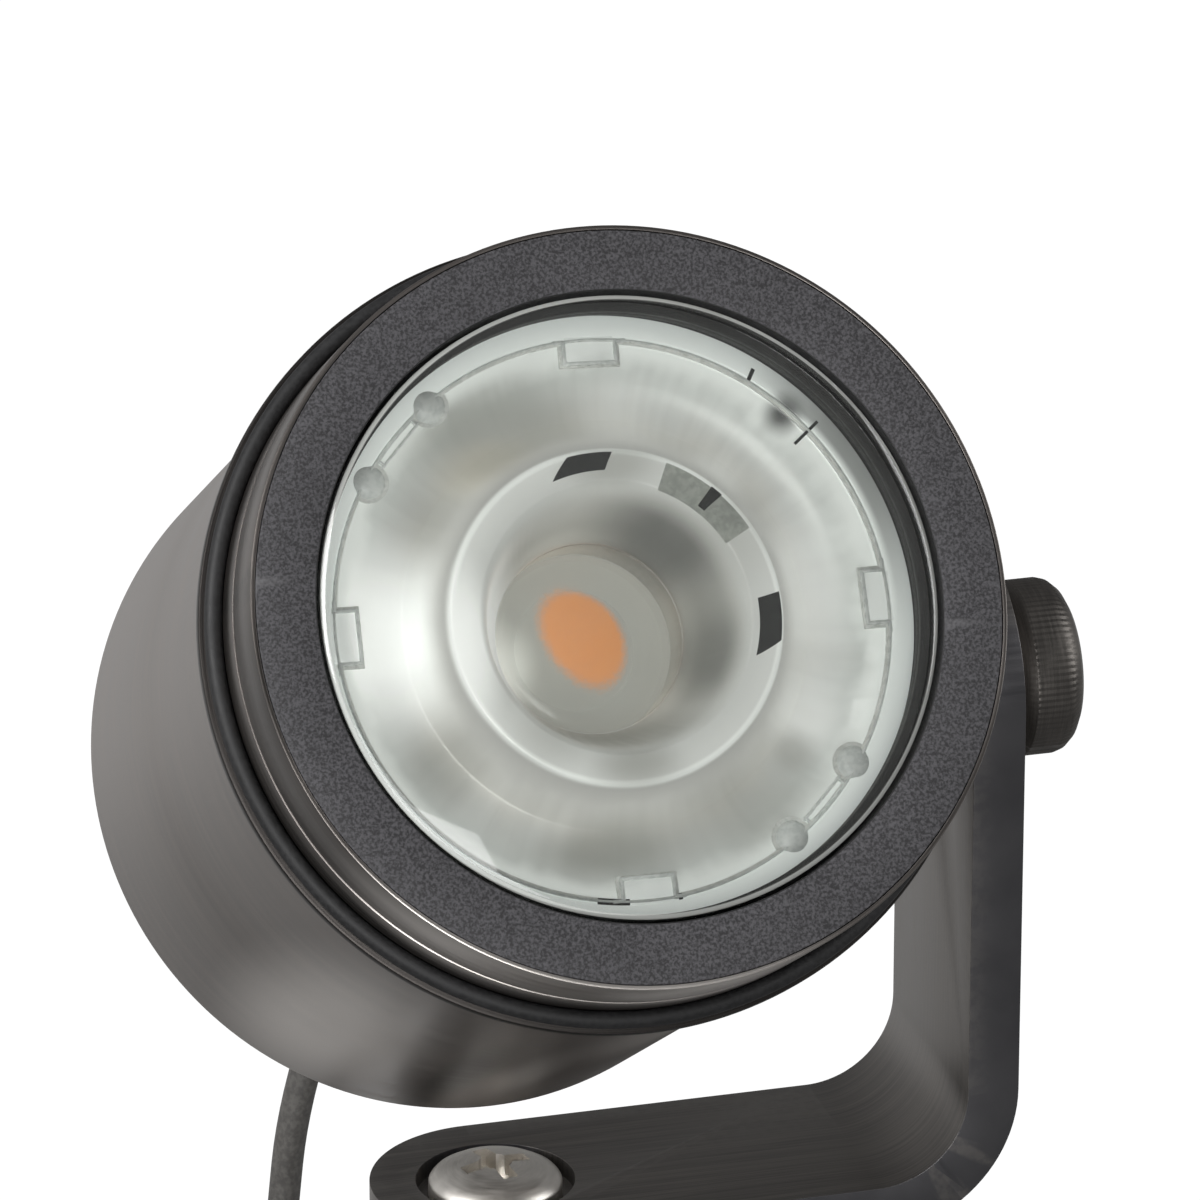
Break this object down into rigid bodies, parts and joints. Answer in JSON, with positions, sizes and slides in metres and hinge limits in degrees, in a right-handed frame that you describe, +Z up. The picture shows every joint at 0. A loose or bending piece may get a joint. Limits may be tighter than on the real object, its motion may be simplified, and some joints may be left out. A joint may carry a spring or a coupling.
{
  "type": "ground spike spotlight",
  "caption": "Small adjustable LED spotlight on a ground stake, with an L bracket, tilt knob and hanging cable.",
  "frame": {"origin": "the stake's axis at ground level, under the ground flange", "axes": "+Z up along the stake; the light faces -Y and the tilt axis is along X, with the knob on +X"},
  "size_m": [0.116, 0.1497, 0.3668],
  "materials": {
    "stake_plastic": "fine moulded texture",
    "neck_metal": "gunmetal anodised, brushed",
    "stainless": "bright stainless",
    "inner_steel": "plain stainless",
    "brass": "machined",
    "bracket_metal": "gunmetal, brushed along the bar",
    "housing_metal": "gunmetal anodised, brushed round",
    "face_coat": "fine textured powder coat",
    "knob_metal": "gunmetal anodised, fine knurl",
    "seal_rubber": "matte",
    "glass": "clear, bevelled edge",
    "optic": "satin moulded optic",
    "black_plastic": "moulded",
    "phosphor": "phosphor coating",
    "board": "white solder mask",
    "sink": "plain machined",
    "wire_cover": "insulated wire",
    "cable": "dark grey jacket"
  },
  "bodies": {
    "stake": {"spike": "stake_plastic", "grub_screws": "stainless", "ground_flange": "stake_plastic", "neck_tube": "neck_metal", "stake_cap": "neck_metal", "threaded_insert": "brass", "base_washer": "stainless", "base_screw": "stainless"},
    "bracket": {"bracket": "bracket_metal", "knob_washer": "stainless", "cable_lead": "cable", "cable_coil": "cable", "cable_ties": "black_plastic", "cable_tail": "cable", "plug_boot": "black_plastic", "plug_body": "black_plastic", "plug_contacts": "brass"},
    "head": {"housing": "housing_metal", "pivot_boss": "housing_metal", "friction_washer": "seal_rubber", "pivot_pad": "housing_metal", "pivot_stud": "inner_steel", "front_collar": "housing_metal", "face_ring": "face_coat", "glass": "glass", "glass_gasket": "seal_rubber", "collar_seal": "seal_rubber", "lens": "optic", "lens_holder": "black_plastic", "phosphor": "phosphor", "led_board": "board", "led_board_screws": "inner_steel", "heat_sink": "sink", "heat_sink_screws": "inner_steel", "led_wires": "wire_cover", "board_pillars": "brass", "driver_board": "board", "driver_screws": "inner_steel", "driver_parts": "black_plastic", "supply_wires": "wire_cover", "cable_inner": "cable", "gland_body": "black_plastic", "gland_seal": "seal_rubber", "gland_nut": "black_plastic", "cable_boot": "seal_rubber", "cable_drop": "cable"},
    "knob": {"knob": "knob_metal", "knob_insert": "brass"}
  },
  "joints": [
    {"name": "bracket_pan", "type": "hinge", "parent": "stake", "child": "bracket", "pos_m": [0, 0, 0.06], "axis": [0, 0, 1], "range_deg": [-180, 180]},
    {"name": "head_tilt", "type": "hinge", "parent": "bracket", "child": "head", "pos_m": [0.0572, 0, 0.125], "axis": [1, 0, 0], "range_deg": [-43, 57], "deforming": ["cable_drop"]},
    {"name": "knob_turn", "type": "hinge", "parent": "head", "child": "knob", "pos_m": [0.0654, 0, 0.125], "axis": [1, 0, 0], "continuous": true}
  ]
}
